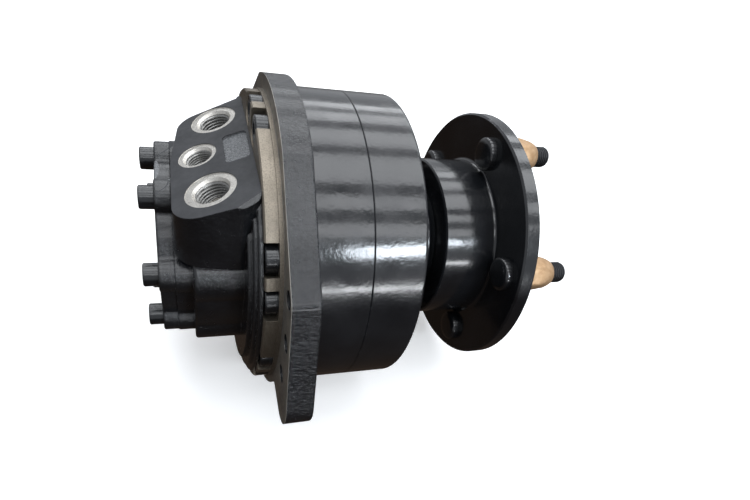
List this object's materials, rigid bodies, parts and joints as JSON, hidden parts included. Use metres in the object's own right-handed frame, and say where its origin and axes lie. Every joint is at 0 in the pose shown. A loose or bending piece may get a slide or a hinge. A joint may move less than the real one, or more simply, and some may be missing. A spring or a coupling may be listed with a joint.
{
  "type": "hydraulic motor",
  "caption": "Radial-piston hydraulic wheel motor: drum-shaped casing with side lugs, sloping face of threaded ports, and a stud-ringed output flange.",
  "frame": {"origin": "centre of the chassis mounting face, on the motor axis", "axes": "+X along the motor axis towards the wheel flange; +Z the side that carries the hose ports; -Y the near lug"},
  "size_m": [0.2631, 0.2492, 0.1984],
  "materials": {
    "gloss_black_paint": "gloss paint with orange peel",
    "black_casting": "gloss paint over sand-cast iron, bare machined rear face",
    "black_cover_casting": "gloss paint over cast iron, bare spotfaces and threads",
    "black_fastener": "painted over with the casing",
    "stud_steel": "black oxide",
    "yellow_zinc": "yellow zinc plate on steel",
    "nitrile": "matte",
    "seal_plastic": "filled sealing plastic",
    "bearing_steel": "ground and polished",
    "machined_steel": "turned and milled",
    "spring_steel": "drawn wire",
    "ground_steel": "ground"
  },
  "bodies": {
    "housing": {"mounting_flange": "black_casting", "cam_ring": "gloss_black_paint", "bearing_housing": "gloss_black_paint", "case_o_rings": "nitrile", "dowel_pins": "machined_steel", "housing_bolts": "black_fastener", "valving_cover": "black_cover_casting", "cover_o_ring": "nitrile", "rear_plate": "black_cover_casting", "rear_plate_o_ring": "nitrile", "rear_plate_screws": "black_fastener", "distributor": "machined_steel", "distributor_seals": "seal_plastic", "distributor_springs": "spring_steel", "distributor_pin": "machined_steel", "shaft_seal": "nitrile", "rear_bearing_cup": "bearing_steel", "front_bearing_cup": "bearing_steel"},
    "rotor": {"output_shaft": "gloss_black_paint", "cylinder_block": "machined_steel", "shaft_nut": "machined_steel", "wheel_studs": "stud_steel", "wheel_nuts": "yellow_zinc", "rear_bearing_cone": "bearing_steel", "front_bearing_cone": "bearing_steel"},
    "rear_bearing_set": {"rear_bearing_rollers": "bearing_steel"},
    "front_bearing_set": {"front_bearing_rollers": "bearing_steel"},
    "piston_body_1": {"piston_1": "ground_steel", "piston_ring_1": "ground_steel"},
    "roller_body_1": {"cam_roller_1": "ground_steel"},
    "piston_body_2": {"piston_2": "ground_steel", "piston_ring_2": "ground_steel"},
    "roller_body_2": {"cam_roller_2": "ground_steel"},
    "piston_body_3": {"piston_3": "ground_steel", "piston_ring_3": "ground_steel"},
    "roller_body_3": {"cam_roller_3": "ground_steel"},
    "piston_body_4": {"piston_4": "ground_steel", "piston_ring_4": "ground_steel"},
    "roller_body_4": {"cam_roller_4": "ground_steel"},
    "piston_body_5": {"piston_5": "ground_steel", "piston_ring_5": "ground_steel"},
    "roller_body_5": {"cam_roller_5": "ground_steel"},
    "piston_body_6": {"piston_6": "ground_steel", "piston_ring_6": "ground_steel"},
    "roller_body_6": {"cam_roller_6": "ground_steel"},
    "piston_body_7": {"piston_7": "ground_steel", "piston_ring_7": "ground_steel"},
    "roller_body_7": {"cam_roller_7": "ground_steel"},
    "piston_body_8": {"piston_8": "ground_steel", "piston_ring_8": "ground_steel"},
    "roller_body_8": {"cam_roller_8": "ground_steel"}
  },
  "joints": [
    {"name": "shaft_spin", "type": "hinge", "parent": "housing", "child": "rotor", "pos_m": [0, 0, 0], "axis": [1, 0, 0], "continuous": true},
    {"name": "rear_rollers_spin", "type": "hinge", "parent": "housing", "child": "rear_bearing_set", "pos_m": [0.0635, 0, 0], "axis": [1, 0, 0], "continuous": true},
    {"name": "front_rollers_spin", "type": "hinge", "parent": "housing", "child": "front_bearing_set", "pos_m": [0.0845, 0, 0], "axis": [1, 0, 0], "continuous": true},
    {"name": "piston_1_slide", "type": "slide", "parent": "rotor", "child": "piston_body_1", "axis": [0, 0, 1], "range_m": [0, 0.002]},
    {"name": "roller_1_spin", "type": "hinge", "parent": "piston_body_1", "child": "roller_body_1", "pos_m": [0.031, 0, 0.0603], "axis": [1, 0, 0], "continuous": true},
    {"name": "piston_2_slide", "type": "slide", "parent": "rotor", "child": "piston_body_2", "axis": [0, -0.7071, 0.7071], "range_m": [0, 0.002]},
    {"name": "roller_2_spin", "type": "hinge", "parent": "piston_body_2", "child": "roller_body_2", "pos_m": [0.031, -0.04264, 0.04264], "axis": [1, 0, 0], "continuous": true},
    {"name": "piston_3_slide", "type": "slide", "parent": "rotor", "child": "piston_body_3", "axis": [0, -1, 0], "range_m": [0, 0.002]},
    {"name": "roller_3_spin", "type": "hinge", "parent": "piston_body_3", "child": "roller_body_3", "pos_m": [0.031, -0.0603, 0], "axis": [1, 0, 0], "continuous": true},
    {"name": "piston_4_slide", "type": "slide", "parent": "rotor", "child": "piston_body_4", "axis": [0, -0.7071, -0.7071], "range_m": [0, 0.002]},
    {"name": "roller_4_spin", "type": "hinge", "parent": "piston_body_4", "child": "roller_body_4", "pos_m": [0.031, -0.04264, -0.04264], "axis": [1, 0, 0], "continuous": true},
    {"name": "piston_5_slide", "type": "slide", "parent": "rotor", "child": "piston_body_5", "axis": [0, 0, -1], "range_m": [0, 0.002]},
    {"name": "roller_5_spin", "type": "hinge", "parent": "piston_body_5", "child": "roller_body_5", "pos_m": [0.031, 0, -0.0603], "axis": [1, 0, 0], "continuous": true},
    {"name": "piston_6_slide", "type": "slide", "parent": "rotor", "child": "piston_body_6", "axis": [0, 0.7071, -0.7071], "range_m": [0, 0.002]},
    {"name": "roller_6_spin", "type": "hinge", "parent": "piston_body_6", "child": "roller_body_6", "pos_m": [0.031, 0.04264, -0.04264], "axis": [1, 0, 0], "continuous": true},
    {"name": "piston_7_slide", "type": "slide", "parent": "rotor", "child": "piston_body_7", "axis": [0, 1, 0], "range_m": [0, 0.002]},
    {"name": "roller_7_spin", "type": "hinge", "parent": "piston_body_7", "child": "roller_body_7", "pos_m": [0.031, 0.0603, 0], "axis": [1, 0, 0], "continuous": true},
    {"name": "piston_8_slide", "type": "slide", "parent": "rotor", "child": "piston_body_8", "axis": [0, 0.7071, 0.7071], "range_m": [0, 0.002]},
    {"name": "roller_8_spin", "type": "hinge", "parent": "piston_body_8", "child": "roller_body_8", "pos_m": [0.031, 0.04264, 0.04264], "axis": [1, 0, 0], "continuous": true}
  ],
  "couplings": [
    {"joint": "rear_rollers_spin", "follows": "shaft_spin", "ratio": 0.4402},
    {"joint": "front_rollers_spin", "follows": "shaft_spin", "ratio": 0.4592}
  ]
}
